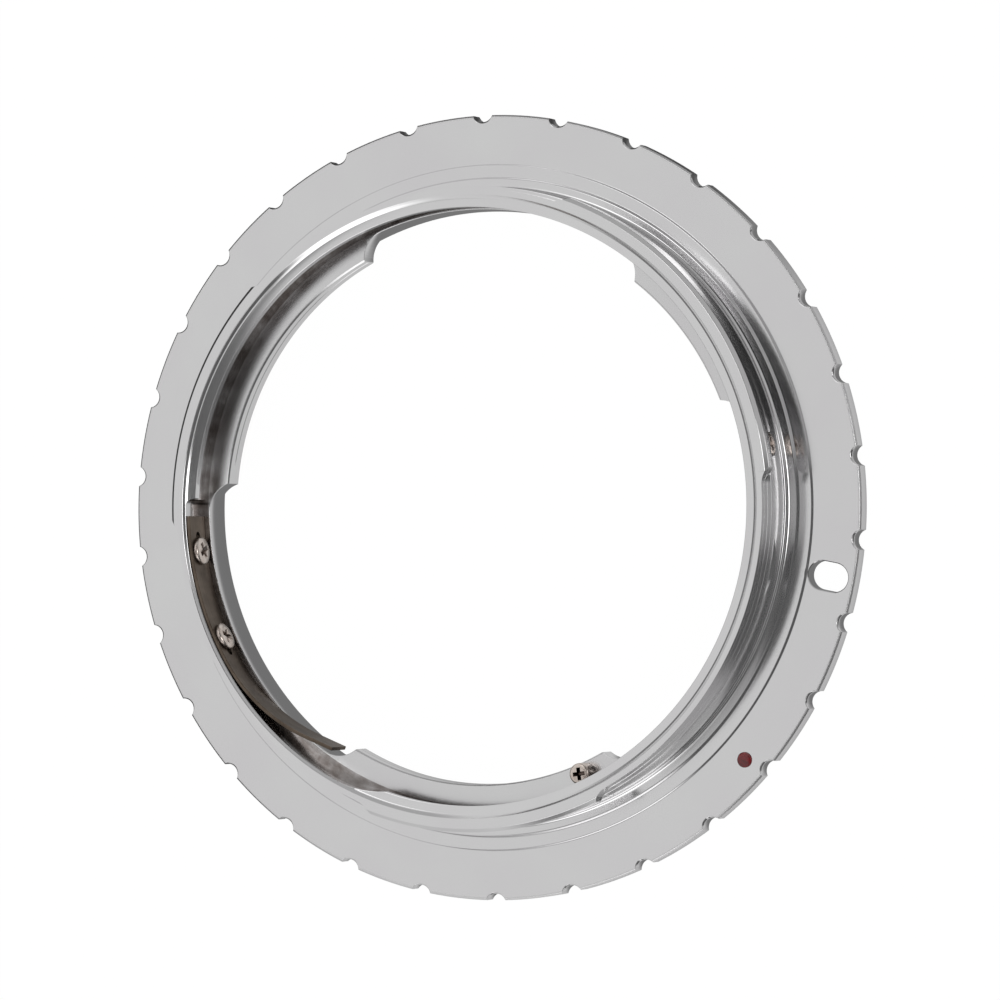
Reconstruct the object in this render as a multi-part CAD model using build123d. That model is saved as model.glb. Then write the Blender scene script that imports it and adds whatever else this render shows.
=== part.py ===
from build123d import *
import math
import os

# A thin ring that puts a lens with one bayonet on a camera with another.
# It lies on its lens side with the camera side up. The axis is Z, and the
# origin is on the axis, in the lens-side face. Lengths are in millimetres.
# Azimuths are in degrees, from +X towards +Y, as seen from the camera side.

# Rim
rim_radius = 32.5
rim_thickness = 1.5
rim_edge_break = 0.15
notch_count = 30
first_notch_azimuth = 7.23
notch_cutter_radius = 0.88
notch_cutter_offset = 0.32

# Lock pin slot, placed from the rim's edge
slot_azimuth = 349.2
slot_inset = 2.3
slot_length = 3.4
slot_width = 2.35

# Tube inside the flange
flange_width = 6.2
tube_height = 5.5
tube_wall = 1.3

# Shallow turned steps round the tube, which seat against the camera, and the
# hollow foot that runs up into the tube
seat_width = 2.1
seat_step = 0.2
seat_slope = 0.1
land_width = 1.0
land_step = 0.3
land_slope = 0.15
foot_spread = 0.35
foot_height = 0.5
foot_hollow = 0.3

# Camera-side lugs, which are milled out of one turned band at the tube's end
camera_lug_reach = 0.35
camera_lug_height = 1.4
camera_lug_bevel = 0.3
camera_gap_depth = 0.3
camera_gap_cutter_radius = 2.0
camera_lugs = [(6.6, 70.0), (136.5, 182.5), (251.6, 296.0)]

# Mouth of the tube and the lip inside it, above the turned pocket
mouth_wall = 0.75
mouth_bevel_width = 0.35
mouth_bevel_depth = 0.4
lip_cone_depth = 0.18
lip_reach = 0.45
lip_thickness = 0.55

# Lens-side throat and its lugs, which are milled out of one turned band
ledge_width = 0.5
lead_in = 1.0
lens_lug_reach = 1.65
lens_lug_depth = 2.0
lens_lug_thickness = 1.9
lens_lug_edge_break = 0.15
lens_gap_cutter_radius = 2.4
lens_lugs = [(22.0, 53.0), (116.8, 175.0), (241.5, 299.0)]

# Leaf spring, bent inwards towards its straight free end, with a slot at its first screw
spring_thickness = 0.3
spring_width = 2.8
spring_start_azimuth = 181.7
spring_bend_azimuth = 209.7
spring_bend_radius = 15.1
spring_bend_angle = 38.4
spring_tip_length = 2.6
spring_slot_width = 0.7
spring_slot_reach = 1.3

# Recess that lets the spring in past the lip; the azimuths are the cutter's
recess_start_azimuth = 179.6
recess_end_azimuth = 244.8
recess_cutter_radius = 0.5

# Clearance between a piece and the seat or hole that holds it
fit_clearance = 0.02

# Two screws that hold the spring against the tube
spring_screw_azimuths = [188.45, 205.8]
spring_screw_head_radius = 1.17
spring_screw_head_height = 0.4
spring_screw_shank_radius = 0.6
spring_screw_end_inset = 0.1

# Stop screw for the lens, upright on a lens-side lug
lens_stop_azimuth = 293.9
lens_stop_inset = 0.95
lens_stop_head_radius = 0.87
lens_stop_head_height = 1.5
lens_stop_shank_radius = 0.5
lens_stop_shank_length = 1.5
lens_stop_hole_play = 0.1

# Stop screw for the camera, in a counterbore in the outside of the tube
camera_stop_azimuth = 10.9
camera_stop_drop = 1.1
camera_stop_head_radius = 0.95
camera_stop_head_height = 0.5
camera_stop_stand_out = 0.1
camera_stop_shank_radius = 0.6
camera_stop_end_inset = 0.1
camera_stop_head_play = 0.05

# Bevel and cross recess of each screw head, as shares of its radius or height
screw_bevel_share = 0.2
cross_length_share = 0.62
cross_width_share = 0.17
cross_depth_share = 0.7

# Enamelled index dot in the flange, placed from the rim's edge
dot_azimuth = 317.7
dot_inset = 2.0
dot_radius = 0.625
dot_depth = 0.3
dot_crown = 0.06

# Radii that follow from the sizes above
tube_radius = rim_radius - flange_width
seat_radius = tube_radius + seat_width
land_radius = tube_radius + land_width
camera_lug_radius = tube_radius + camera_lug_reach
camera_gap_radius = tube_radius - camera_gap_depth
mouth_radius = tube_radius - mouth_wall
pocket_radius = tube_radius - tube_wall
lip_radius = pocket_radius - lip_reach
throat_radius = pocket_radius - ledge_width
lens_lug_radius = throat_radius - lens_lug_reach
spring_outer_radius = pocket_radius + spring_thickness
recess_radius = spring_outer_radius + fit_clearance
camera_stop_seat_radius = tube_radius + camera_stop_stand_out - camera_stop_head_height

# Heights that follow from the sizes above
top_height = rim_thickness + tube_height
seat_height = rim_thickness + seat_step
land_height = seat_height + land_step
camera_lug_floor = top_height - camera_lug_height
camera_stop_height = camera_lug_floor - camera_stop_drop
lip_top = top_height - mouth_bevel_depth - lip_cone_depth
lip_floor = lip_top - lip_thickness
lens_lug_face_height = lens_lug_depth + lens_lug_thickness
spring_screw_height = lens_lug_face_height + spring_width / 2

# How far a cutter runs past the metal that it cuts
overrun = 3.0

# Solids that stand on or hang from their place
standing = (Align.CENTER, Align.CENTER, Align.MIN)
hanging = (Align.CENTER, Align.CENTER, Align.MAX)


def profile(points):
    """An open outline in the XZ plane through points (radius, height)."""
    return Polyline(*[(radius, 0, height) for radius, height in points])


def arc_band(inner, outer, start, end, bottom, top):
    """A part of a flat-sided ring between two azimuths."""
    corners = [(inner, bottom), (outer, bottom), (outer, top), (inner, top), (inner, bottom)]
    section = make_face(profile(corners))
    return Rot(0, 0, start) * revolve(section, Axis.Z, revolution_arc=end - start)


def milled_band(path_radius, cutter_radius, start, end, bottom, top):
    """What an upright end mill removes on an arc round the axis from start to end."""
    path = CenterArc((0, 0), path_radius, start, end - start)
    return Pos(0, 0, bottom) * extrude(SlotArc(path, 2 * cutter_radius), top - bottom)


def corner_angle(path_radius, cutter_radius, edge_radius):
    """Azimuth between a cutter's centre and where its edge crosses edge_radius."""
    sides = path_radius**2 + edge_radius**2 - cutter_radius**2
    return math.degrees(math.acos(sides / (2 * path_radius * edge_radius)))


def gaps_between(lugs):
    """Azimuths from each lug's end to the next lug's start."""
    following = lugs[1:] + [(lugs[0][0] + 360, lugs[0][1] + 360)]
    return [(lug[1], after[0]) for lug, after in zip(lugs, following)]


def drill(radius, depth):
    """A drill that cuts from above its mouth at z = 0 down to depth."""
    return Pos(0, 0, overrun) * Cylinder(radius, depth + overrun, align=hanging)


def upright(radius, azimuth, height):
    """A place whose Z points up."""
    return Rot(0, 0, azimuth) * Pos(radius, 0, height)


def outward(radius, azimuth, height):
    """A place whose Z points away from the axis."""
    return upright(radius, azimuth, height) * Rot(0, 90, 0)


def inward(radius, azimuth, height):
    """A place whose Z points at the axis."""
    return upright(radius, azimuth, height) * Rot(0, -90, 0)


# Where each stop screw's head meets its seat
lens_stop_place = upright(
    lens_lug_radius + lens_stop_inset, lens_stop_azimuth, lens_lug_face_height
)
camera_stop_place = outward(camera_stop_seat_radius, camera_stop_azimuth, camera_stop_height)


def screw(head_radius, head_height, shank_radius, shank_length):
    """A small screw with its seat at z = 0 and a bevelled cross-recess head above."""
    bevel = min(head_radius * screw_bevel_share, head_height / 2)
    outline = [
        (0, 0),
        (head_radius, 0),
        (head_radius, head_height - bevel),
        (head_radius - bevel, head_height),
        (0, head_height),
        (0, 0),
    ]
    head = revolve(make_face(profile(outline)), Axis.Z)
    shank = Cylinder(shank_radius, shank_length, align=hanging)
    cross_length = 2 * head_radius * cross_length_share
    cross_width = 2 * head_radius * cross_width_share
    cross_depth = min(head_height, head_radius) * cross_depth_share
    slot = Box(cross_length, cross_width, cross_depth, align=hanging)
    return head + shank - Pos(0, 0, head_height) * (slot + Rot(0, 0, 90) * slot)


def ring_blank():
    """The turned ring, with both lug bands still whole."""
    foot_start = (tube_radius + foot_spread, land_height)
    foot_end = (tube_radius, land_height + foot_height)
    foot_middle = (
        tube_radius + foot_spread * foot_hollow,
        land_height + foot_height * foot_hollow,
    )
    foot = ThreePointArc(*[(radius, 0, height) for radius, height in (foot_start, foot_middle, foot_end)])
    tube_and_inside = profile([
        foot_end,
        (tube_radius, camera_lug_floor),
        (camera_lug_radius, camera_lug_floor),
        (camera_lug_radius, top_height - camera_lug_bevel),
        (camera_lug_radius - camera_lug_bevel, top_height),
        (mouth_radius, top_height),
        (mouth_radius - mouth_bevel_width, top_height - mouth_bevel_depth),
        (lip_radius, lip_top),
        (lip_radius, lip_floor),
        (pocket_radius, lip_floor),
        (pocket_radius, lens_lug_face_height),
        (lens_lug_radius + lens_lug_edge_break, lens_lug_face_height),
        (lens_lug_radius, lens_lug_face_height - lens_lug_edge_break),
        (lens_lug_radius, lens_lug_depth),
        (throat_radius, lens_lug_depth),
        (throat_radius, lead_in),
        (throat_radius + lead_in, 0),
    ])
    rim_and_steps = profile([
        (throat_radius + lead_in, 0),
        (rim_radius - rim_edge_break, 0),
        (rim_radius, rim_edge_break),
        (rim_radius, rim_thickness - rim_edge_break),
        (rim_radius - rim_edge_break, rim_thickness),
        (seat_radius, rim_thickness),
        (seat_radius - seat_slope, seat_height),
        (land_radius, seat_height),
        (land_radius - land_slope, land_height),
        foot_start,
    ])
    return revolve(make_face(rim_and_steps + foot + tube_and_inside), Axis.Z)


def camera_gaps():
    """Metal milled from the outside of the tube's end, between the camera-side lugs."""
    path = camera_gap_radius + camera_gap_cutter_radius
    turn = corner_angle(path, camera_gap_cutter_radius, camera_lug_radius)
    for start, end in gaps_between(camera_lugs):
        yield milled_band(
            path,
            camera_gap_cutter_radius,
            start + turn,
            end - turn,
            camera_lug_floor,
            top_height + overrun,
        )


def lens_gaps():
    """Metal milled from inside the throat, between the lens-side lugs."""
    path = throat_radius - lens_gap_cutter_radius
    turn = corner_angle(path, lens_gap_cutter_radius, lens_lug_radius)
    for start, end in gaps_between(lens_lugs):
        yield milled_band(
            path,
            lens_gap_cutter_radius,
            start + turn,
            end - turn,
            lens_lug_depth,
            lens_lug_face_height,
        )


def mount_ring():
    """The ring as it leaves the mill, with all its holes."""
    ring = ring_blank() - milled_band(
        recess_radius - recess_cutter_radius,
        recess_cutter_radius,
        recess_start_azimuth,
        recess_end_azimuth,
        lens_lug_face_height,
        top_height + overrun,
    )
    for gap in [*camera_gaps(), *lens_gaps()]:
        ring -= gap

    notch = Cylinder(notch_cutter_radius, rim_thickness + 2 * overrun)
    for index in range(notch_count):
        azimuth = first_notch_azimuth + index * 360 / notch_count
        ring -= upright(rim_radius + notch_cutter_offset, azimuth, 0) * notch

    slot = extrude(SlotOverall(slot_length, slot_width), rim_thickness + 2 * overrun)
    ring -= upright(rim_radius - slot_inset, slot_azimuth, -overrun) * slot

    ring -= upright(rim_radius - dot_inset, dot_azimuth, rim_thickness) * drill(
        dot_radius + fit_clearance, dot_depth
    )
    for azimuth in spring_screw_azimuths:
        ring -= inward(pocket_radius, azimuth, spring_screw_height) * drill(
            spring_screw_shank_radius + fit_clearance, tube_radius - pocket_radius + overrun
        )
    ring -= lens_stop_place * drill(
        lens_stop_shank_radius + fit_clearance, lens_stop_shank_length + lens_stop_hole_play
    )
    ring -= camera_stop_place * drill(camera_stop_head_radius + camera_stop_head_play, 0)
    ring -= camera_stop_place * drill(
        camera_stop_shank_radius + fit_clearance, camera_stop_seat_radius - pocket_radius + overrun
    )
    return ring


def leaf_spring():
    """A strip along the tube's wall that turns inwards to its free end."""
    held = arc_band(
        pocket_radius,
        spring_outer_radius,
        spring_start_azimuth,
        spring_bend_azimuth,
        lens_lug_face_height,
        lens_lug_face_height + spring_width,
    )
    bent = Pos(pocket_radius - spring_bend_radius, 0, 0) * arc_band(
        spring_bend_radius,
        spring_bend_radius + spring_thickness,
        0,
        spring_bend_angle,
        lens_lug_face_height,
        lens_lug_face_height + spring_width,
    )
    tip = Pos(spring_bend_radius, 0, lens_lug_face_height) * Box(
        spring_thickness,
        spring_tip_length,
        spring_width,
        align=(Align.MIN, Align.MIN, Align.MIN),
    )
    bent += Pos(pocket_radius - spring_bend_radius, 0, 0) * Rot(0, 0, spring_bend_angle) * tip
    spring = held + Rot(0, 0, spring_bend_azimuth) * bent
    slot = extrude(
        SlotCenterToCenter(spring_slot_reach, spring_slot_width), spring_thickness + 2 * overrun
    )
    spring -= (
        inward(spring_outer_radius + overrun, spring_screw_azimuths[0], spring_screw_height)
        * Rot(0, 0, 90)
        * Pos(-spring_slot_reach / 2, 0, 0)
        * slot
    )
    for azimuth in spring_screw_azimuths:
        spring -= inward(pocket_radius, azimuth, spring_screw_height) * drill(
            spring_screw_shank_radius + fit_clearance, spring_thickness + overrun
        )
    return spring


def spring_screw(azimuth):
    """A screw whose head holds the spring, with its tip just inside the tube's outer face."""
    seat = math.sqrt(pocket_radius**2 - spring_screw_head_radius**2)
    body = screw(
        spring_screw_head_radius,
        spring_screw_head_height,
        spring_screw_shank_radius,
        camera_gap_radius - spring_screw_end_inset - seat,
    )
    return inward(seat, azimuth, spring_screw_height) * body


def lens_stop_screw():
    """The tall screw that the lens turns against."""
    body = screw(
        lens_stop_head_radius,
        lens_stop_head_height,
        lens_stop_shank_radius,
        lens_stop_shank_length,
    )
    return lens_stop_place * body


def camera_stop_screw():
    """The low screw that ends the turn in the camera."""
    body = screw(
        camera_stop_head_radius,
        camera_stop_head_height,
        camera_stop_shank_radius,
        camera_stop_seat_radius - pocket_radius - camera_stop_end_inset,
    )
    return camera_stop_place * body


def index_dot():
    """A drop of enamel that fills its drilled recess and stands a little proud."""
    top = dot_depth + dot_crown
    crown_radius = (dot_radius**2 + dot_crown**2) / (2 * dot_crown)
    crown = Pos(0, 0, top - crown_radius) * Sphere(crown_radius)
    drop = crown & Cylinder(dot_radius, top, align=standing)
    return upright(rim_radius - dot_inset, dot_azimuth, rim_thickness - dot_depth) * drop


nodes = {
    "mount_ring": mount_ring(),
    "leaf_spring": leaf_spring(),
    "lens_stop_screw": lens_stop_screw(),
    "camera_stop_screw": camera_stop_screw(),
    "index_dot": index_dot(),
}
for number, azimuth in enumerate(spring_screw_azimuths, start=1):
    nodes[f"spring_screw_{number}"] = spring_screw(azimuth)

os.makedirs("parts", exist_ok=True)
for name, solid in nodes.items():
    export_step(solid, f"parts/{name}.step")
    print(name, round(solid.volume, 3), "mm3")
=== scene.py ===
import math

import bmesh
import bpy
import numpy as np
from mathutils import Matrix, Vector


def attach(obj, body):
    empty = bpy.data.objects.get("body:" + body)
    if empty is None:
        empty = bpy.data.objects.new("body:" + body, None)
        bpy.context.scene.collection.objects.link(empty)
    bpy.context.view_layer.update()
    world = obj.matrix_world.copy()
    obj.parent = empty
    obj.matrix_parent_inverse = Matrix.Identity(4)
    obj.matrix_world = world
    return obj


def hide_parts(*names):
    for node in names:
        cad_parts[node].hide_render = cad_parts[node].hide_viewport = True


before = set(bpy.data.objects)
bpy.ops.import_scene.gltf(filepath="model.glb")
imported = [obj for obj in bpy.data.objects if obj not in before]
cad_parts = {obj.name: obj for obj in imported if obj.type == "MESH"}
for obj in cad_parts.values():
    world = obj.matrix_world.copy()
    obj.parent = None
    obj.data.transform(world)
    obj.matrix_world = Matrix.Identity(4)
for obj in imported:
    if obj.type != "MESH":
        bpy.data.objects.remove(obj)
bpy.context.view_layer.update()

# Lengths are in millimetres up to the meshes, which are in metres. Azimuths are
# in degrees from +X towards +Y. The ring lies on its lens side, camera side up.
MM = 0.001

# Rim, its notches and the lock pin slot
rim_radius = 32.49
rim_thickness = 1.5
rim_edge_break = 0.15
notch_count = 30
first_notch_azimuth = 7.23
notch_cutter_radius = 0.88
notch_path_radius = 32.82
slot_azimuth = 349.2
slot_centre_radius = 30.2
slot_length = 3.4
slot_width = 2.35
slot_edge_break = 0.07

# Seat steps and foot
seat_radius = 28.4
seat_slope = 0.1
seat_height = 1.7
land_radius = 27.3
land_slope = 0.15
land_height = 2.0
foot_radius = 26.65
foot_top = 2.5
foot_steps = 11

# Tube and camera-side lugs
tube_radius = 26.3
top_height = 7.0
camera_lug_floor = 5.6
camera_lug_radius = 26.65
camera_lug_bevel = 0.3
camera_gap_radius = 26.0
camera_gap_cutter_radius = 2.0
camera_lugs = [(6.6, 70.0), (136.5, 182.5), (251.6, 296.0)]

# Mouth, lip, pocket and the recess for the spring
mouth_radius = 25.55
mouth_bevel_radius = 25.35
mouth_bevel_height = 6.8
lip_shoulder_radius = 25.2
lip_shoulder_height = 6.7
lip_radius = 24.52
lip_top = 6.58
lip_floor = 5.87
pocket_radius = 25.0
recess_radius = 25.32
recess_cutter_radius = 0.5
recess_start_azimuth = 179.6
recess_end_azimuth = 238.0
run_out_start_azimuth = 200.0
run_out_end_azimuth = 243.0
run_out_cutter_radius = 8.4

# Throat and lens-side lugs
throat_radius = 24.5
lead_in = 1.0
lens_lug_radius = 22.85
lens_lug_floor = 2.0
lens_lug_face = 3.9
lens_lug_edge_break = 0.15
lens_lug_groove_height = 3.0
lens_lug_groove_depth = 0.05
lens_lug_groove_inset = 4.0
lens_gap_cutter_radius = 2.4
lens_lugs = [(22.0, 53.0), (116.8, 175.0), (241.5, 299.0)]

# Rounding of edges: crisp turned edges, softer milled ones, and at most this share of a side
crisp_edge = 0.03
soft_edge = 0.06
longest_rounding = 0.45

# Leaf spring
spring_thickness = 0.3
spring_width = 2.8
spring_start_azimuth = 181.7
spring_bend_azimuth = 209.7
spring_bend_radius = 15.1
spring_bend_angle = 38.4
spring_tip_length = 2.6
spring_edge = 0.06
spring_slot_reach = 1.3
spring_slot_width = 0.7

# Screws: each head as (radius, height), its place, and how far its cross is turned
spring_screw_azimuths = [188.45, 205.8]
spring_screw_cross_turns = [25, 70]
spring_screw_height = 5.3
spring_screw_head = (1.17, 0.4)
spring_screw_end_inset = 0.1
lens_stop_azimuth = 293.9
lens_stop_centre_radius = 23.8
lens_stop_head = (0.87, 1.5)
lens_stop_shank_radius = 0.5
lens_stop_shank_length = 1.5
lens_stop_cross_turn = 74
camera_stop_azimuth = 10.9
camera_stop_height = 4.5
camera_stop_head = (0.95, 0.5)
camera_stop_seat_radius = 25.9
camera_stop_head_play = 0.05
camera_stop_shank_length = 0.8
camera_stop_cross_turn = 10
screw_shank_radius = 0.6
shank_play = 0.02

# A screw's rounded crown, as shares of its bevel inwards and down, and its cross recess:
# share of the depth up from the face, then reach and breadth as shares of the head's radius
crown = [(0, 1), (0.08, 0.75), (0.3, 0.4), (0.6, 0.14), (1, 0)]
cross_sections = [(-1, 0.3, 0.1), (0, 0.6, 0.19), (1, 0.9, 0.28)]
cross_depth_share = 0.75
head_edge = 0.02

# Index dot
dot_azimuth = 317.7
dot_centre_radius = 30.5
dot_radius = 0.625
dot_depth = 0.3
dot_crown = 0.06
dot_edge = 0.02

# Camera, as fitted to the photograph's outline
camera_distance = 435.19
camera_tilt = 22.98
camera_azimuth = -2.067
focal_length_in_frames = 5.26014
centre_from_left = 0.48899
centre_from_top = 0.50722
sensor_width = 36.0

# Sky: level of the overhead panel, then cards as azimuth, its half-width, elevation, its
# half-height, softness and level. Later cards lie over earlier ones.
overhead_level = 0.72
cards = [
    (0, 100, 40, 60, 8, 0.12),        # dark room on the right
    (180, 40, 0, 24, 8, 0.2),         # dark wall on the left, low down
    (242, 9, 60, 26, 5, 0.28),        # gap between panels
    (272, 24, 67, 16, 6, 0.47),       # upper edge of the light at the bottom
    (272, 16, 33, 24, 6, 1.6),        # light at the bottom
    (62, 50, 8, 22, 5, 0.45),         # pale horizon to the right
    (0, 180, 90, 14, 3, 0.13),        # dark opening overhead, round the camera
    (101, 12, 66, 32, 6, 1.7),        # bright strip at the top
    (-38, 28, 41, 5, 3, 0.8),         # paler strip between the two lights
    (48, 22, 68, 36, 5, 0.03),        # dark flag to the upper right
    (5, 17, 68, 14, 6, 0.45),         # dim room behind the camera
    (5, 17, 46, 11, 4, 3.0),          # key light to the right
]

# Floor, in metres, and how much of it the camera sees as plain white
floor_half_width = 3.0
floor_albedo = 0.6
floor_white_level = 1.03
floor_white_share = 0.96

# Painted light on the floor, seen only in the chrome: how brightly it glows inside the ring,
# with a painted shadow at its foot, and outside it darker on the upper left and lighter on the lower
# right, with a soft change across a slanting line
floor_inside_level = 0.62
floor_foot_shadow_level = 0.2
floor_foot_start = 22.6
floor_outside_light_and_shade_levels = (0.06, 0.6)
floor_change_slant = 0.9
floor_change_place = 5
floor_change_half_width = 15

# Colours, darker and paler, between which each material moves
chrome_colours = ((0.765, 0.755, 0.765, 1), (0.79, 0.79, 0.79, 1))
# Pocket under the lip: real brown staining and painted shade
pocket_stain_and_shade_colour = (0.22, 0.19, 0.175, 1)
bronze_colours = ((0.09, 0.068, 0.052, 1), (0.2, 0.16, 0.125, 1))
nickel_colours = ((0.62, 0.52, 0.46, 1), (0.85, 0.78, 0.72, 1))
# Painted shade in the screws' crosses and crevices
nickel_painted_shade_colour = (0.05, 0.026, 0.019, 1)
enamel_colours = ((0.11, 0.002, 0.004, 1), (0.27, 0.007, 0.01, 1))

# Cutters run past what they cut. Round meshes have this many steps, and the ring's has even
# steps in degrees, and more round each cutter's edge: degrees of the edge, and steps
overrun = 3.0
circle_steps = 48
azimuth_step = 0.6
least_azimuth_step = 0.001
notch_edge = (68.6, 6)
camera_gap_edge = (48, 8)
lens_gap_edge = (93.7, 14)
recess_edge = (122, 12)
spring_held_steps = 90
spring_bend_steps = 40
dot_steps = 7


def link(name, mesh):
    """A new object for a mesh."""
    obj = bpy.data.objects.new(name, mesh)
    bpy.context.scene.collection.objects.link(obj)
    return obj


def tidy_mesh(mesh):
    """Merges doubled points and turns every face outwards."""
    work = bmesh.new()
    work.from_mesh(mesh)
    bmesh.ops.remove_doubles(work, verts=work.verts, dist=1e-7)
    bmesh.ops.dissolve_degenerate(work, edges=work.edges, dist=1e-8)
    bmesh.ops.recalc_face_normals(work, faces=work.faces)
    work.to_mesh(mesh)
    work.free()


def loft(name, sections):
    """A closed solid through loops of points in millimetres, with flat ends."""
    count = len(sections[0])
    points = [tuple(c * MM for c in point) for section in sections for point in section]
    faces = []
    for low in range(0, count * (len(sections) - 1), count):
        for i in range(count):
            j = (i + 1) % count
            faces.append((low + i, low + j, low + count + j, low + count + i))
    faces.append(tuple(range(count)))
    faces.append(tuple(range(len(points) - count, len(points))))
    mesh = bpy.data.meshes.new(name)
    mesh.from_pydata(points, [], faces)
    tidy_mesh(mesh)
    return link(name, mesh)


def circle(radius, height, steps=circle_steps):
    """A level loop round Z."""
    turns = [2 * math.pi * i / steps for i in range(steps)]
    return [(radius * math.cos(t), radius * math.sin(t), height) for t in turns]


def turned(name, outline, steps=circle_steps):
    """A solid of revolution from (radius, height) pairs."""
    return loft(name, [circle(radius, height, steps) for radius, height in outline])


def place(obj, radius, azimuth, height, facing="up"):
    """Moves a mesh modelled round +Z to its place on the ring."""
    tilt = {"up": 0, "outward": 90, "inward": -90}[facing]
    matrix = (
        Matrix.Rotation(math.radians(azimuth), 4, "Z")
        @ Matrix.Translation(Vector((radius, 0, height)) * MM)
        @ Matrix.Rotation(math.radians(tilt), 4, "Y")
    )
    obj.data.transform(matrix)
    return obj


def cut(obj, cutters):
    """Takes the cutters out of a solid and deletes them."""
    for cutter in cutters:
        modifier = obj.modifiers.new("cut", "BOOLEAN")
        modifier.operation = "DIFFERENCE"
        modifier.solver = "EXACT"
        modifier.object = cutter
    graph = bpy.context.evaluated_depsgraph_get()
    mesh = bpy.data.meshes.new_from_object(obj.evaluated_get(graph))
    obj.modifiers.clear()
    obj.data = mesh
    for cutter in cutters:
        bpy.data.objects.remove(cutter)


def smooth(obj, angle=9):
    """Smooth shading between sharp edges, with level faces kept flat."""
    level = 0.99999
    for face in obj.data.polygons:
        face.use_smooth = abs(face.normal.z) < level
    obj.data.set_sharp_from_angle(angle=math.radians(angle))


def finish_piece(obj, material, node):
    """Gives a piece its material and its place in the table."""
    obj.data.materials.clear()
    obj.data.materials.append(material)
    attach(obj, "root")
    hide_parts(node)


# Ring

def gap_paths(lugs, path, cutter, edge_radius):
    """Azimuths of the cutter's centre at both ends of each gap between lugs."""
    cosine = (path**2 + edge_radius**2 - cutter**2) / (2 * path * edge_radius)
    turn = math.degrees(math.acos(cosine))
    starts = [start for start, end in lugs[1:]] + [lugs[0][0] + 360]
    return [(end + turn, start - turn) for (_, end), start in zip(lugs, starts)]


def milled(azimuths, band_radius, paths, path, cutter, side):
    """Radius of a turned band after a cutter ran along paths, outside (-1) or inside (1) it."""
    radius = np.full(len(azimuths), band_radius)
    for start, end in paths:
        middle, half = (start + end) / 2, (end - start) / 2
        off = np.abs((azimuths - middle + 180) % 360 - 180) - half
        away = np.radians(np.clip(off, 0, 90))
        across = path * np.sin(away)
        reached = path * np.cos(away) + side * np.sqrt(np.maximum(cutter**2 - across**2, 0))
        touched = across < cutter
        nearer = reached < radius if side < 0 else reached > radius
        radius = np.where(touched & nearer, reached, radius)
    return radius


def arc_azimuths(paths, path, cutter, side, reach, steps):
    """Azimuths that follow a cutter's round edge at both ends of each path."""
    found = []
    for start, end in paths:
        for step in range(steps + 1):
            turn = math.radians(reach * step / steps)
            away = math.degrees(
                math.atan2(cutter * math.sin(turn), path + side * cutter * math.cos(turn))
            )
            found += [start - away, end + away]
    return found


camera_path = camera_gap_radius + camera_gap_cutter_radius
lens_path = throat_radius - lens_gap_cutter_radius
recess_path = recess_radius - recess_cutter_radius
recess_paths = [(recess_start_azimuth, recess_end_azimuth)]
run_out_path = recess_radius - run_out_cutter_radius
run_out_paths = [(run_out_start_azimuth, run_out_end_azimuth)]
camera_paths = gap_paths(camera_lugs, camera_path, camera_gap_cutter_radius, camera_lug_radius)
lens_paths = gap_paths(lens_lugs, lens_path, lens_gap_cutter_radius, lens_lug_radius)
notch_paths = [
    (first_notch_azimuth + 360 / notch_count * i,) * 2 for i in range(notch_count)
]


def ring_azimuths():
    """Even steps, with more points where a cutter left a round end or a square step."""
    azimuths = list(np.arange(0, 360, azimuth_step))
    azimuths += arc_azimuths(notch_paths, notch_path_radius, notch_cutter_radius, -1, *notch_edge)
    azimuths += arc_azimuths(camera_paths, camera_path, camera_gap_cutter_radius, -1, *camera_gap_edge)
    azimuths += arc_azimuths(lens_paths, lens_path, lens_gap_cutter_radius, 1, *lens_gap_edge)
    azimuths += arc_azimuths(recess_paths, recess_path, recess_cutter_radius, 1, *recess_edge)
    azimuths = np.sort(np.array(azimuths) % 360)
    return azimuths[np.diff(azimuths, append=azimuths[0] + 360) > least_azimuth_step]


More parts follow.
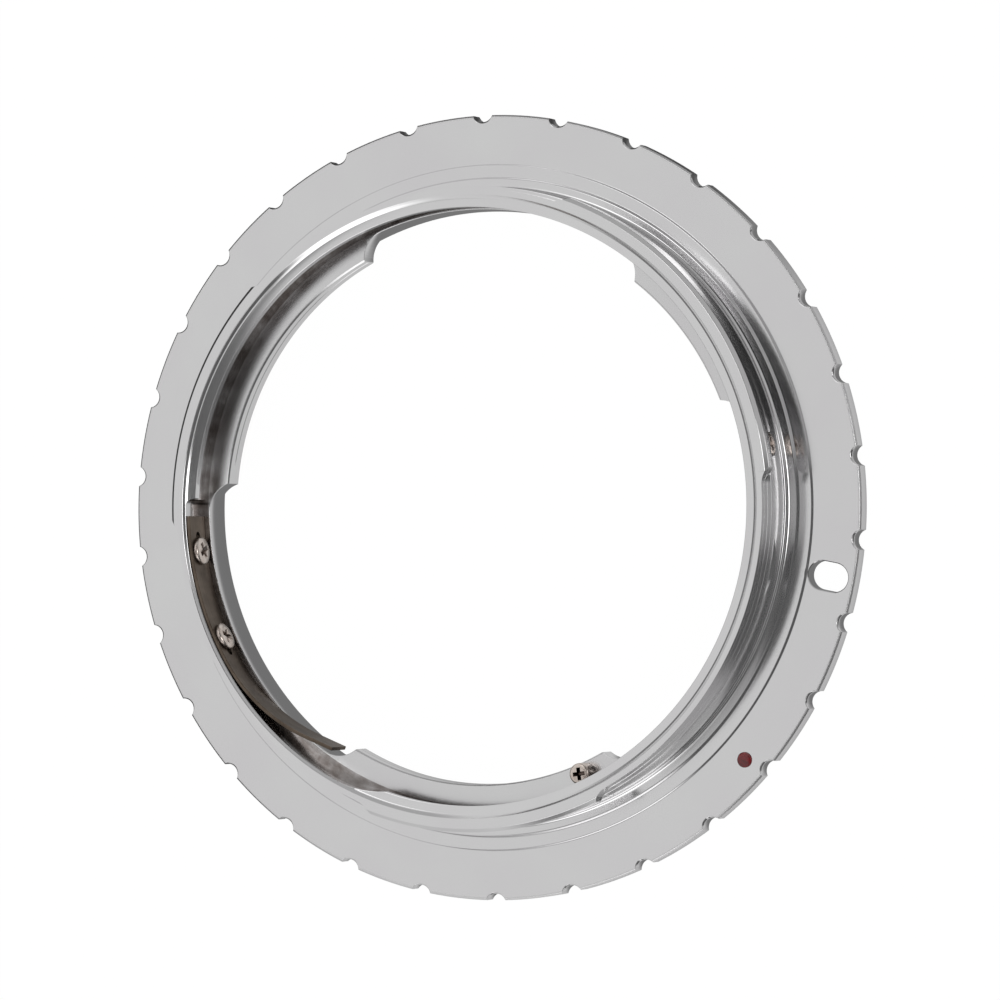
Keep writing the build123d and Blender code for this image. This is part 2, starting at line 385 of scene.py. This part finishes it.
def ring_corners(azimuths):
    """Corners of the ring's section at each azimuth, as (radius, height, rounding)."""
    rim = milled(azimuths, rim_radius, notch_paths, notch_path_radius, notch_cutter_radius, -1)
    band = milled(
        azimuths, camera_lug_radius, camera_paths, camera_path, camera_gap_cutter_radius, -1
    )
    tab = milled(azimuths, lens_lug_radius, lens_paths, lens_path, lens_gap_cutter_radius, 1)
    bevel_floor = top_height - camera_lug_bevel
    band_top = np.minimum(top_height, bevel_floor + camera_lug_radius - band)
    face_edge = np.minimum(band, camera_lug_radius - camera_lug_bevel)
    tab_break = np.clip(lens_lug_edge_break - (tab - lens_lug_radius), crisp_edge, None)
    recess = milled(azimuths, lip_radius, recess_paths, recess_path, recess_cutter_radius, 1)
    run_out = milled(
        azimuths, lip_radius, run_out_paths, run_out_path, run_out_cutter_radius, 1
    )
    recess = np.maximum(recess, run_out)
    mouth = [
        (mouth_radius, top_height),
        (mouth_bevel_radius, mouth_bevel_height),
        (lip_shoulder_radius, lip_shoulder_height),
        (lip_radius, lip_top),
    ]
    mouth_radii, mouth_heights = zip(*reversed(mouth))

    def recessed(number):
        """A corner of the mouth, or its place on the recess's wall."""
        radius = np.maximum(mouth[number][0], recess)
        on_slope = np.interp(radius, mouth_radii, mouth_heights)
        return radius, np.where(recess < mouth[number - 1][0], on_slope, mouth[number][1])

    under_lip = np.where(recess > pocket_radius, lip_floor - soft_edge, lip_floor)
    grooved = np.zeros(len(azimuths))
    for start, end in lens_lugs:
        grooved[(azimuths > start) & (azimuths < end - lens_lug_groove_inset)] = 1
    groove = grooved * lens_lug_groove_depth
    foot = []
    for step in range(1, foot_steps):
        turn = math.pi / 2 * step / foot_steps
        foot.append((
            foot_radius - (foot_radius - tube_radius) * math.sin(turn),
            foot_top - (foot_top - land_height) * math.cos(turn),
            0,
        ))
    corners = [
        (throat_radius + lead_in, 0, crisp_edge),
        (rim - rim_edge_break, 0, crisp_edge),
        (rim, rim_edge_break, crisp_edge),
        (rim, rim_thickness - rim_edge_break, crisp_edge),
        (rim - rim_edge_break, rim_thickness, crisp_edge),
        (seat_radius, rim_thickness, crisp_edge),
        (seat_radius - seat_slope, seat_height, crisp_edge),
        (land_radius, seat_height, crisp_edge),
        (land_radius - land_slope, land_height, soft_edge),
        (foot_radius, land_height, 0),
        *foot,
        (tube_radius, foot_top, 0),
        (tube_radius, camera_lug_floor, crisp_edge),
        (band, camera_lug_floor, crisp_edge),
        (band, band_top, crisp_edge),
        (face_edge, top_height, crisp_edge),
        (mouth_radius, top_height, crisp_edge),
        (*recessed(1), crisp_edge),
        (*recessed(2), crisp_edge),
        (*recessed(3), crisp_edge),
        (recess, lip_floor, crisp_edge),
        (np.maximum(pocket_radius, recess), under_lip, 0),
        (np.maximum(pocket_radius, recess), lens_lug_face, 0),
        (tab + tab_break, lens_lug_face, crisp_edge),
        (tab, lens_lug_face - tab_break, crisp_edge),
        (tab, lens_lug_groove_height + lens_lug_groove_depth, 0),
        (tab + groove, lens_lug_groove_height, 0),
        (tab, lens_lug_groove_height - lens_lug_groove_depth, 0),
        (tab, lens_lug_floor, crisp_edge),
        (throat_radius, lens_lug_floor, 0),
        (throat_radius, lead_in, crisp_edge),
    ]
    return [
        (np.stack([np.broadcast_to(r, azimuths.shape), np.broadcast_to(z, azimuths.shape)]), s)
        for r, z, s in corners
    ]


def rounded(corners):
    """Replaces each corner by three points that round it."""
    rows = []
    for index, (corner, rounding) in enumerate(corners):
        before, after = corners[index - 1][0], corners[(index + 1) % len(corners)][0]
        if rounding == 0:
            rows.append(corner)
            continue
        ends = []
        for other in (before, after):
            step = other - corner
            length = np.maximum(np.hypot(*step), 1e-9)
            ends.append(corner + step * np.minimum(rounding, longest_rounding * length) / length)
        rows += [ends[0], (ends[0] + 2 * corner + ends[1]) / 4, ends[1]]
    return rows


def ring_mesh():
    """The turned and milled ring, without its drilled holes."""
    azimuths = ring_azimuths()
    rows = rounded(ring_corners(azimuths))
    turns = np.radians(azimuths)
    points = []
    for radius, height in rows:
        points.append(
            np.stack([radius * np.cos(turns), radius * np.sin(turns), height], 1) * MM
        )
    count, loops = len(azimuths), len(rows)
    faces = []
    for loop in range(loops):
        low, high = loop * count, (loop + 1) % loops * count
        for i in range(count):
            j = (i + 1) % count
            faces.append((low + i, low + j, high + j, high + i))
    mesh = bpy.data.meshes.new("ring")
    mesh.from_pydata(np.concatenate(points).tolist(), [], faces)
    tidy_mesh(mesh)
    return mesh


def slot_outline(length, width, grow, height):
    """A round-ended outline along X, grown by a margin."""
    radius = width / 2 + grow
    centre = (length - width) / 2
    steps = circle_steps // 2
    loop = []
    for side in (1, -1):
        for i in range(steps + 1):
            turn = math.pi * (i / steps - 0.5)
            loop.append((
                side * (centre + radius * math.cos(turn)),
                side * radius * math.sin(turn),
                height,
            ))
    return loop


def slot_cutter():
    """Cuts the slot and breaks its edges on both faces."""
    levels = [
        (slot_edge_break + overrun, -overrun),
        (0, slot_edge_break),
        (0, rim_thickness - slot_edge_break),
        (slot_edge_break + overrun, rim_thickness + overrun),
    ]
    return loft("slot_cutter", [
        slot_outline(slot_length, slot_width, grow, height) for grow, height in levels
    ])


def drill(radius, depth):
    """A cutter from above z = 0 down to depth."""
    return turned("drill", [(radius, overrun), (radius, -depth)])


def make_ring():
    """The whole ring with its slot, recesses and holes."""
    ring = link("ring", ring_mesh())
    wall = tube_radius - pocket_radius + overrun
    cutters = [
        place(slot_cutter(), slot_centre_radius, slot_azimuth, 0),
        place(
            drill(dot_radius + shank_play, dot_depth),
            dot_centre_radius, dot_azimuth, rim_thickness,
        ),
        place(
            drill(camera_stop_head[0] + camera_stop_head_play, 0),
            camera_stop_seat_radius, camera_stop_azimuth, camera_stop_height, "outward",
        ),
    ]
    for azimuth in spring_screw_azimuths:
        cutters.append(place(
            drill(screw_shank_radius + shank_play, wall),
            pocket_radius, azimuth, spring_screw_height, "inward",
        ))
    cut(ring, cutters)
    smooth(ring)
    return ring


# Spring and screws

def strip_section(place_at):
    """The spring's section with soft edges, from (depth, height) to points."""
    half = spring_width / 2
    middle = lens_lug_face + half
    corners = [
        (0, -half, 1, 1), (spring_thickness, -half, -1, 1),
        (spring_thickness, half, -1, -1), (0, half, 1, -1),
    ]
    loop = []
    for index, (depth, height, across, up) in enumerate(corners):
        ends = [(depth + across * spring_edge, height), (depth, height + up * spring_edge)]
        mid = (depth + across * spring_edge * 0.3, height + up * spring_edge * 0.3)
        ordered = [ends[1], mid, ends[0]] if index % 2 == 0 else [ends[0], mid, ends[1]]
        loop += [place_at(d, middle + h) for d, h in ordered]
    return loop


def spring_slot(side):
    """Cutter for a slot from a screw hole along the strip, to one side."""
    slot = loft("spring_slot", [
        slot_outline(spring_slot_reach + spring_slot_width, spring_slot_width, 0, height)
        for height in (-overrun, overrun)
    ])
    shift = Matrix.Translation((side * spring_slot_reach / 2 * MM, 0, 0))
    slot.data.transform(Matrix.Rotation(math.pi / 2, 4, "Z") @ shift)
    return slot


def make_spring():
    """The strip along the recess and its bent free end."""
    sections = []
    for azimuth in np.linspace(spring_start_azimuth, spring_bend_azimuth, spring_held_steps):
        turn = math.radians(azimuth)
        sections.append(strip_section(lambda d, h: (
            (pocket_radius + d) * math.cos(turn), (pocket_radius + d) * math.sin(turn), h,
        )))
    base = math.radians(spring_bend_azimuth)
    centre = pocket_radius - spring_bend_radius
    for bend in np.linspace(0, spring_bend_angle, spring_bend_steps)[1:]:
        turn = base + math.radians(bend)
        sections.append(strip_section(lambda d, h: (
            centre * math.cos(base) + (spring_bend_radius + d) * math.cos(turn),
            centre * math.sin(base) + (spring_bend_radius + d) * math.sin(turn),
            h,
        )))
    along = Vector((-math.sin(turn), math.cos(turn), 0)) * spring_tip_length
    sections.append([tuple(Vector(point) + along) for point in sections[-1]])
    spring = loft("spring", sections)
    cutters = []
    for azimuth, side in zip(spring_screw_azimuths, (-1, 1)):
        for cutter in (
            drill(screw_shank_radius + shank_play, spring_thickness + overrun),
            spring_slot(side),
        ):
            place(cutter, pocket_radius, azimuth, spring_screw_height, "inward")
            cutters.append(cutter)
    cut(spring, cutters)
    smooth(spring)
    return spring


def cross_outline(reach, breadth, height):
    """A cross with arms of one reach and breadth."""
    corner = [(reach, -breadth), (reach, breadth), (breadth, breadth)]
    loop = []
    for quarter in range(4):
        turn = math.pi / 2 * quarter
        for x, y in corner:
            loop.append((
                x * math.cos(turn) - y * math.sin(turn),
                x * math.sin(turn) + y * math.cos(turn),
                height,
            ))
    return loop


def make_screw(name, head, shank_radius, shank_length, recess_turn):
    """A pan-head screw with a tapered cross recess."""
    radius, height = head
    bevel = min(0.2 * radius, height / 2)
    outline = [
        (shank_radius, -shank_length),
        (shank_radius, 0),
        (radius - head_edge, 0),
        (radius, head_edge),
        *[(radius - inwards * bevel, height - down * bevel) for inwards, down in crown],
    ]
    screw = turned(name, outline)
    depth = min(height, radius) * cross_depth_share
    recess = loft("recess", [
        cross_outline(reach * radius, breadth * radius, height + up * depth)
        for up, reach, breadth in cross_sections
    ])
    recess.data.transform(Matrix.Rotation(math.radians(recess_turn), 4, "Z"))
    cut(screw, [recess])
    return screw


def make_screws():
    """All four screws, in their places."""
    spring_seat = math.sqrt(pocket_radius**2 - spring_screw_head[0] ** 2)
    screws = {}
    spring_shank_length = camera_gap_radius - spring_screw_end_inset - spring_seat
    places = zip(spring_screw_azimuths, spring_screw_cross_turns)
    for number, (azimuth, cross_turn) in enumerate(places, start=1):
        screw = make_screw(
            f"spring_screw_{number}_detail", spring_screw_head, screw_shank_radius,
            spring_shank_length, cross_turn,
        )
        place(screw, spring_seat, azimuth, spring_screw_height, "inward")
        screws[f"spring_screw_{number}"] = screw
    screw = make_screw(
        "lens_stop_screw_detail", lens_stop_head, lens_stop_shank_radius,
        lens_stop_shank_length, lens_stop_cross_turn,
    )
    screws["lens_stop_screw"] = place(
        screw, lens_stop_centre_radius, lens_stop_azimuth, lens_lug_face
    )
    screw = make_screw(
        "camera_stop_screw_detail", camera_stop_head, screw_shank_radius,
        camera_stop_shank_length, camera_stop_cross_turn,
    )
    screws["camera_stop_screw"] = place(
        screw, camera_stop_seat_radius, camera_stop_azimuth, camera_stop_height, "outward"
    )
    for screw in screws.values():
        smooth(screw, 35)
    return screws


def make_dot():
    """The enamel drop in its recess."""
    outline = [(dot_radius, 0), (dot_radius, dot_depth - dot_edge)]
    for step in range(dot_steps):
        turn = math.pi / 2 * step / dot_steps
        outline.append((dot_radius * math.cos(turn), dot_depth + dot_crown * math.sin(turn)))
    outline.append((dot_edge, dot_depth + dot_crown))
    dot = turned("index_dot_detail", outline)
    place(dot, dot_centre_radius, dot_azimuth, rim_thickness - dot_depth)
    smooth(dot, 60)
    return dot


# Materials

class Nodes:
    """A small helper that adds nodes to a tree and links them."""

    def __init__(self, tree):
        self.tree = tree

    def add(self, kind, inputs=None, **settings):
        """A new node with its inputs set or linked."""
        node = self.tree.nodes.new(kind)
        for key, value in settings.items():
            setattr(node, key, value)
        for key, value in (inputs or {}).items():
            self.set(node.inputs[key], value)
        return node

    def set(self, socket, value):
        """Links a socket to another, or gives it a value."""
        if isinstance(value, bpy.types.NodeSocket):
            self.tree.links.new(value, socket)
        else:
            socket.default_value = value

    def maths(self, operation, *values):
        """The result of a sum, product or the like."""
        node = self.add("ShaderNodeMath", operation=operation)
        for index, value in enumerate(values):
            self.set(node.inputs[index], value)
        return node.outputs[0]

    def blend(self, factor, low, high):
        """A number between low and high."""
        node = self.add("ShaderNodeMix", data_type="FLOAT")
        for index, value in enumerate((factor, low, high)):
            self.set(node.inputs[index + (index > 0)], value)
        return node.outputs[0]

    def ramp(self, value, low, high):
        """Spreads the middle of a noise from low to high."""
        node = self.add(
            "ShaderNodeMapRange",
            {"Value": value, "To Min": low, "To Max": high, "From Min": 0.3, "From Max": 0.7},
        )
        return node.outputs["Result"]

    def noise(self, vector, scale, detail, roughness):
        """Cloudiness in space, with so many clouds to the metre."""
        node = self.add(
            "ShaderNodeTexNoise",
            {"Vector": vector, "Scale": scale, "Detail": detail, "Roughness": roughness},
        )
        return node.outputs["Fac"]

    def mix(self, factor, low, high):
        """A colour between low and high."""
        node = self.add("ShaderNodeMix", data_type="RGBA")
        self.set(node.inputs[0], factor)
        self.set(node.inputs[6], low)
        self.set(node.inputs[7], high)
        return node.outputs[2]

    def step(self, value, limit, soft, rising=True):
        """Fades from 0 to 1 as a value in metres passes a limit in millimetres."""
        low, high = (0.0, 1.0) if rising else (1.0, 0.0)
        node = self.add(
            "ShaderNodeMapRange",
            {
                "Value": value, "From Min": (limit - soft) * MM, "From Max": (limit + soft) * MM,
                "To Min": low, "To Max": high,
            },
            interpolation_type="SMOOTHSTEP",
        )
        return node.outputs["Result"]

    def inside(self, radius, height, radii, heights, soft=0.04):
        """1 within a band of radii and heights."""
        mask = 1.0
        for value, (low, high) in ((radius, radii), (height, heights)):
            for limit, rising in ((low, True), (high, False)):
                mask = self.maths("MULTIPLY", mask, self.step(value, limit, soft, rising))
        return mask

    def bump(self, height, strength, distance):
        """A surface direction that follows fine heights."""
        node = self.add(
            "ShaderNodeBump", {"Height": height, "Strength": strength, "Distance": distance}
        )
        return node.outputs["Normal"]


class Shader(Nodes):
    """The nodes of a new material."""

    def __init__(self, name):
        self.material = bpy.data.materials.new(name)
        self.material.use_nodes = True
        super().__init__(self.material.node_tree)
        self.surface = self.tree.nodes["Principled BSDF"]

    def surface_inputs(self, **values):
        """Sets the inputs of the surface by their names."""
        for key, value in values.items():
            self.set(self.surface.inputs[key.replace("_", " ").title()], value)


def turned_coordinates(shader):
    """Object coordinates, and (radius, height) of a point on the turned ring."""
    place_on = shader.add("ShaderNodeTexCoord").outputs["Object"]
    parts = shader.add("ShaderNodeSeparateXYZ", {"Vector": place_on})
    squares = [
        shader.maths("MULTIPLY", parts.outputs[axis], parts.outputs[axis]) for axis in (0, 1)
    ]
    radius = shader.maths("SQRT", shader.maths("ADD", *squares))
    section = shader.add("ShaderNodeCombineXYZ", {"X": radius, "Y": parts.outputs[2]})
    return place_on, section.outputs[0], radius, parts.outputs[2]


def chrome():
    """Satin chrome with lathe marks that follow the turning."""
    shader = Shader("satin_chrome")
    place_on, section, radius, height = turned_coordinates(shader)
    lathe = shader.noise(section, 9000, 3.0, 0.6)
    cloud = shader.noise(place_on, 160, 3.0, 0.5)
    grain = shader.noise(place_on, 6000, 2.0, 0.6)
    colour = shader.mix(shader.ramp(cloud, 0, 1), *chrome_colours)
    roughness = shader.maths(
        "ADD", shader.ramp(cloud, 0.11, 0.14), shader.ramp(grain, -0.01, 0.01)
    )
    lug_faces = shader.inside(
        radius, height, (0, pocket_radius), (lens_lug_face - 0.1, lens_lug_face + 0.05)
    )
    roughness = shader.blend(lug_faces, roughness, 0.22)
    rim_wall = shader.step(radius, rim_radius - 0.25, 0.05)
    roughness = shader.blend(rim_wall, roughness, 0.3)
    # Pocket under the lip and in the spring's recess: colour darkened by real brown staining and
    # painted shade
    pocket = shader.inside(
        radius, height, (lip_radius + 0.1, recess_radius + 0.08),
        (lens_lug_face - 0.05, lip_floor + 0.05),
    )
    stain = shader.noise(place_on, 500, 4.0, 0.65)
    stained_and_shaded = shader.maths("MULTIPLY", pocket, shader.ramp(stain, 0.35, 1.0))
    colour = shader.mix(stained_and_shaded, colour, pocket_stain_and_shade_colour)
    marks = shader.maths("ADD", shader.maths("MULTIPLY", lathe, 0.7), grain)
    shader.surface_inputs(
        base_color=colour, metallic=1.0, roughness=roughness,
        normal=shader.bump(marks, 0.02, 1e-5),
    )
    return shader.material


def bronze():
    """Dark oxidised spring bronze, rubbed along the strip."""
    shader = Shader("spring_bronze_strip")
    place_on, section, _, _ = turned_coordinates(shader)
    stain = shader.noise(place_on, 420, 5.0, 0.6)
    rub = shader.noise(section, 5000, 2.0, 0.6)
    colour = shader.mix(shader.ramp(stain, 0, 1), *bronze_colours)
    shader.surface_inputs(
        base_color=colour, metallic=0.9, roughness=shader.ramp(rub, 0.3, 0.45),
        normal=shader.bump(shader.maths("ADD", rub, stain), 0.1, 2e-5),
    )
    return shader.material


def nickel():
    """Warm nickel plate of small screws, with painted shade in the crosses and crevices."""
    shader = Shader("warm_nickel")
    place_on = turned_coordinates(shader)[0]
    stain = shader.noise(place_on, 2200, 4.0, 0.6)
    colour = shader.mix(shader.ramp(stain, 0, 1), *nickel_colours)
    # Painted shade: occlusion darkens the colour in the crosses and crevices
    open_sky = shader.add("ShaderNodeAmbientOcclusion", {"Distance": 0.6 * MM}, samples=6)
    openness = shader.maths("POWER", open_sky.outputs["AO"], 2.0)
    colour = shader.mix(openness, nickel_painted_shade_colour, colour)
    shader.surface_inputs(
        base_color=colour, metallic=1.0, roughness=shader.ramp(stain, 0.32, 0.2),
        normal=shader.bump(stain, 0.15, 3e-5),
    )
    return shader.material


def enamel():
    """Dark red glossy enamel."""
    shader = Shader("dark_red_enamel")
    place_on = turned_coordinates(shader)[0]
    stain = shader.noise(place_on, 1500, 3.0, 0.5)
    colour = shader.mix(shader.ramp(stain, 0, 1), *enamel_colours)
    shader.surface_inputs(
        base_color=colour, roughness=shader.ramp(stain, 0.18, 0.3),
        normal=shader.bump(stain, 0.2, 3e-5),
    )
    shader.surface.inputs["Coat Weight"].default_value = 0.6
    return shader.material


# Stage

def make_floor():
    """A plain white floor that keeps a soft shadow, and glows in the chrome with painted light and
    shade.
    """
    half = floor_half_width
    mesh = bpy.data.meshes.new("floor")
    corners = [(-half, -half, 0), (half, -half, 0), (half, half, 0), (-half, half, 0)]
    mesh.from_pydata(corners, [], [(0, 1, 2, 3)])
    floor = link("floor", mesh)
    shader = Shader("white_floor")
    shader.surface_inputs(base_color=(floor_albedo,) * 3 + (1,), roughness=0.9)
    shader.surface.inputs["Specular IOR Level"].default_value = 0.0
    place_on, _, radius, _ = turned_coordinates(shader)
    # Painted light and shade outside the ring: the glow is darker on the upper left and lighter on the
    # lower right
    sides = shader.add("ShaderNodeSeparateXYZ", {"Vector": place_on}).outputs
    slanted = shader.maths("MULTIPLY", sides[1], floor_change_slant)
    across = shader.maths("SUBTRACT", sides[0], slanted)
    changed = shader.step(across, floor_change_place, floor_change_half_width)
    outside = shader.blend(changed, *floor_outside_light_and_shade_levels)
    # Painted shadow: the glow seen in reflections fades towards the ring's foot
    at_foot = shader.step(radius, floor_foot_start, 0.5)
    under = shader.blend(at_foot, floor_inside_level, floor_foot_shadow_level)
    painted_glow_level = shader.blend(shader.step(radius, rim_radius, 0.3), under, outside)
    path = shader.add("ShaderNodeLightPath").outputs
    glow = shader.add("ShaderNodeEmission", {"Color": (1, 1, 1, 1)})
    shader.set(
        glow.inputs["Strength"],
        shader.blend(path["Is Glossy Ray"], floor_white_level, painted_glow_level),
    )
    white = shader.maths("MULTIPLY", path["Is Camera Ray"], floor_white_share)
    seen = shader.maths("ADD", white, path["Is Glossy Ray"])
    both = shader.add("ShaderNodeMixShader")
    shader.set(both.inputs[0], seen)
    shader.set(both.inputs[1], shader.surface.outputs[0])
    shader.set(both.inputs[2], glow.outputs[0])
    shader.set(shader.tree.nodes["Material Output"].inputs[0], both.outputs[0])
    mesh.materials.append(shader.material)


def card_mask(world, card):
    """Soft-edged window in the sky: azimuth and elevation, each a middle and a half-width."""
    middle, half, height, half_height, soft, _ = card
    turn = math.radians(middle)
    along = world.maths(
        "ADD",
        world.maths("MULTIPLY", world.x, math.cos(turn)),
        world.maths("MULTIPLY", world.y, math.sin(turn)),
    )
    across = world.maths(
        "SUBTRACT",
        world.maths("MULTIPLY", world.y, math.cos(turn)),
        world.maths("MULTIPLY", world.x, math.sin(turn)),
    )
    off = world.maths("ABSOLUTE", world.maths("ARCTAN2", across, along))
    rise = world.maths("ABSOLUTE", world.maths("SUBTRACT", world.elevation, math.radians(height)))
    masks = []
    for value, limit in ((off, half), (rise, half_height)):
        edge = world.add(
            "ShaderNodeMapRange",
            {
                "Value": value, "From Min": math.radians(limit - soft),
                "From Max": math.radians(limit + soft), "To Min": 1.0, "To Max": 0.0,
            },
            interpolation_type="SMOOTHSTEP",
        )
        masks.append(edge.outputs["Result"])
    return world.maths("MULTIPLY", *masks)


def make_world():
    """A grey overhead panel with bright and dark cards round it."""
    world = bpy.data.worlds.new("studio")
    world.use_nodes = True
    bpy.context.scene.world = world
    sky = Nodes(world.node_tree)
    direction = sky.add("ShaderNodeTexCoord").outputs["Generated"]
    parts = sky.add("ShaderNodeSeparateXYZ", {"Vector": direction})
    sky.x, sky.y = parts.outputs[0], parts.outputs[1]
    sky.elevation = sky.maths("ARCSINE", parts.outputs[2])
    level = sky.add("ShaderNodeValue").outputs[0]
    level.default_value = overhead_level
    for card in cards:
        level = sky.blend(card_mask(sky, card), level, card[-1])
    background = sky.tree.nodes["Background"]
    background.inputs["Color"].default_value = (1, 1, 1, 1)
    sky.set(background.inputs["Strength"], level)


def make_camera():
    """The photograph's view: from above, leaning towards +X."""
    tilt, azimuth = math.radians(camera_tilt), math.radians(camera_azimuth)
    along = Vector((math.cos(azimuth), math.sin(azimuth), 0))
    across = Vector((-math.sin(azimuth), math.cos(azimuth), 0))
    up = Vector((0, 0, 1))
    back = along * math.sin(tilt) + up * math.cos(tilt)
    level = along * math.cos(tilt) - up * math.sin(tilt)
    right = level * math.cos(azimuth) - across * math.sin(azimuth)
    top = level * math.sin(azimuth) + across * math.cos(azimuth)
    data = bpy.data.cameras.new("camera")
    camera = bpy.data.objects.new("camera", data)
    bpy.context.scene.collection.objects.link(camera)
    target = Vector((0, 0, rim_thickness)) * MM
    matrix = Matrix((right, top, back)).transposed().to_4x4()
    matrix.translation = target + back * camera_distance * MM
    camera.matrix_world = matrix
    data.sensor_width = sensor_width
    data.lens = focal_length_in_frames * sensor_width
    data.shift_x = 0.5 - centre_from_left
    data.shift_y = centre_from_top - 0.5
    bpy.context.scene.camera = camera


make_camera()
make_world()
make_floor()

finish_piece(make_ring(), chrome(), "mount_ring")
finish_piece(make_spring(), bronze(), "leaf_spring")
screw_finish = nickel()
for node, screw in make_screws().items():
    finish_piece(screw, screw_finish, node)
finish_piece(make_dot(), enamel(), "index_dot")

bpy.context.scene.view_settings.view_transform = "Standard"
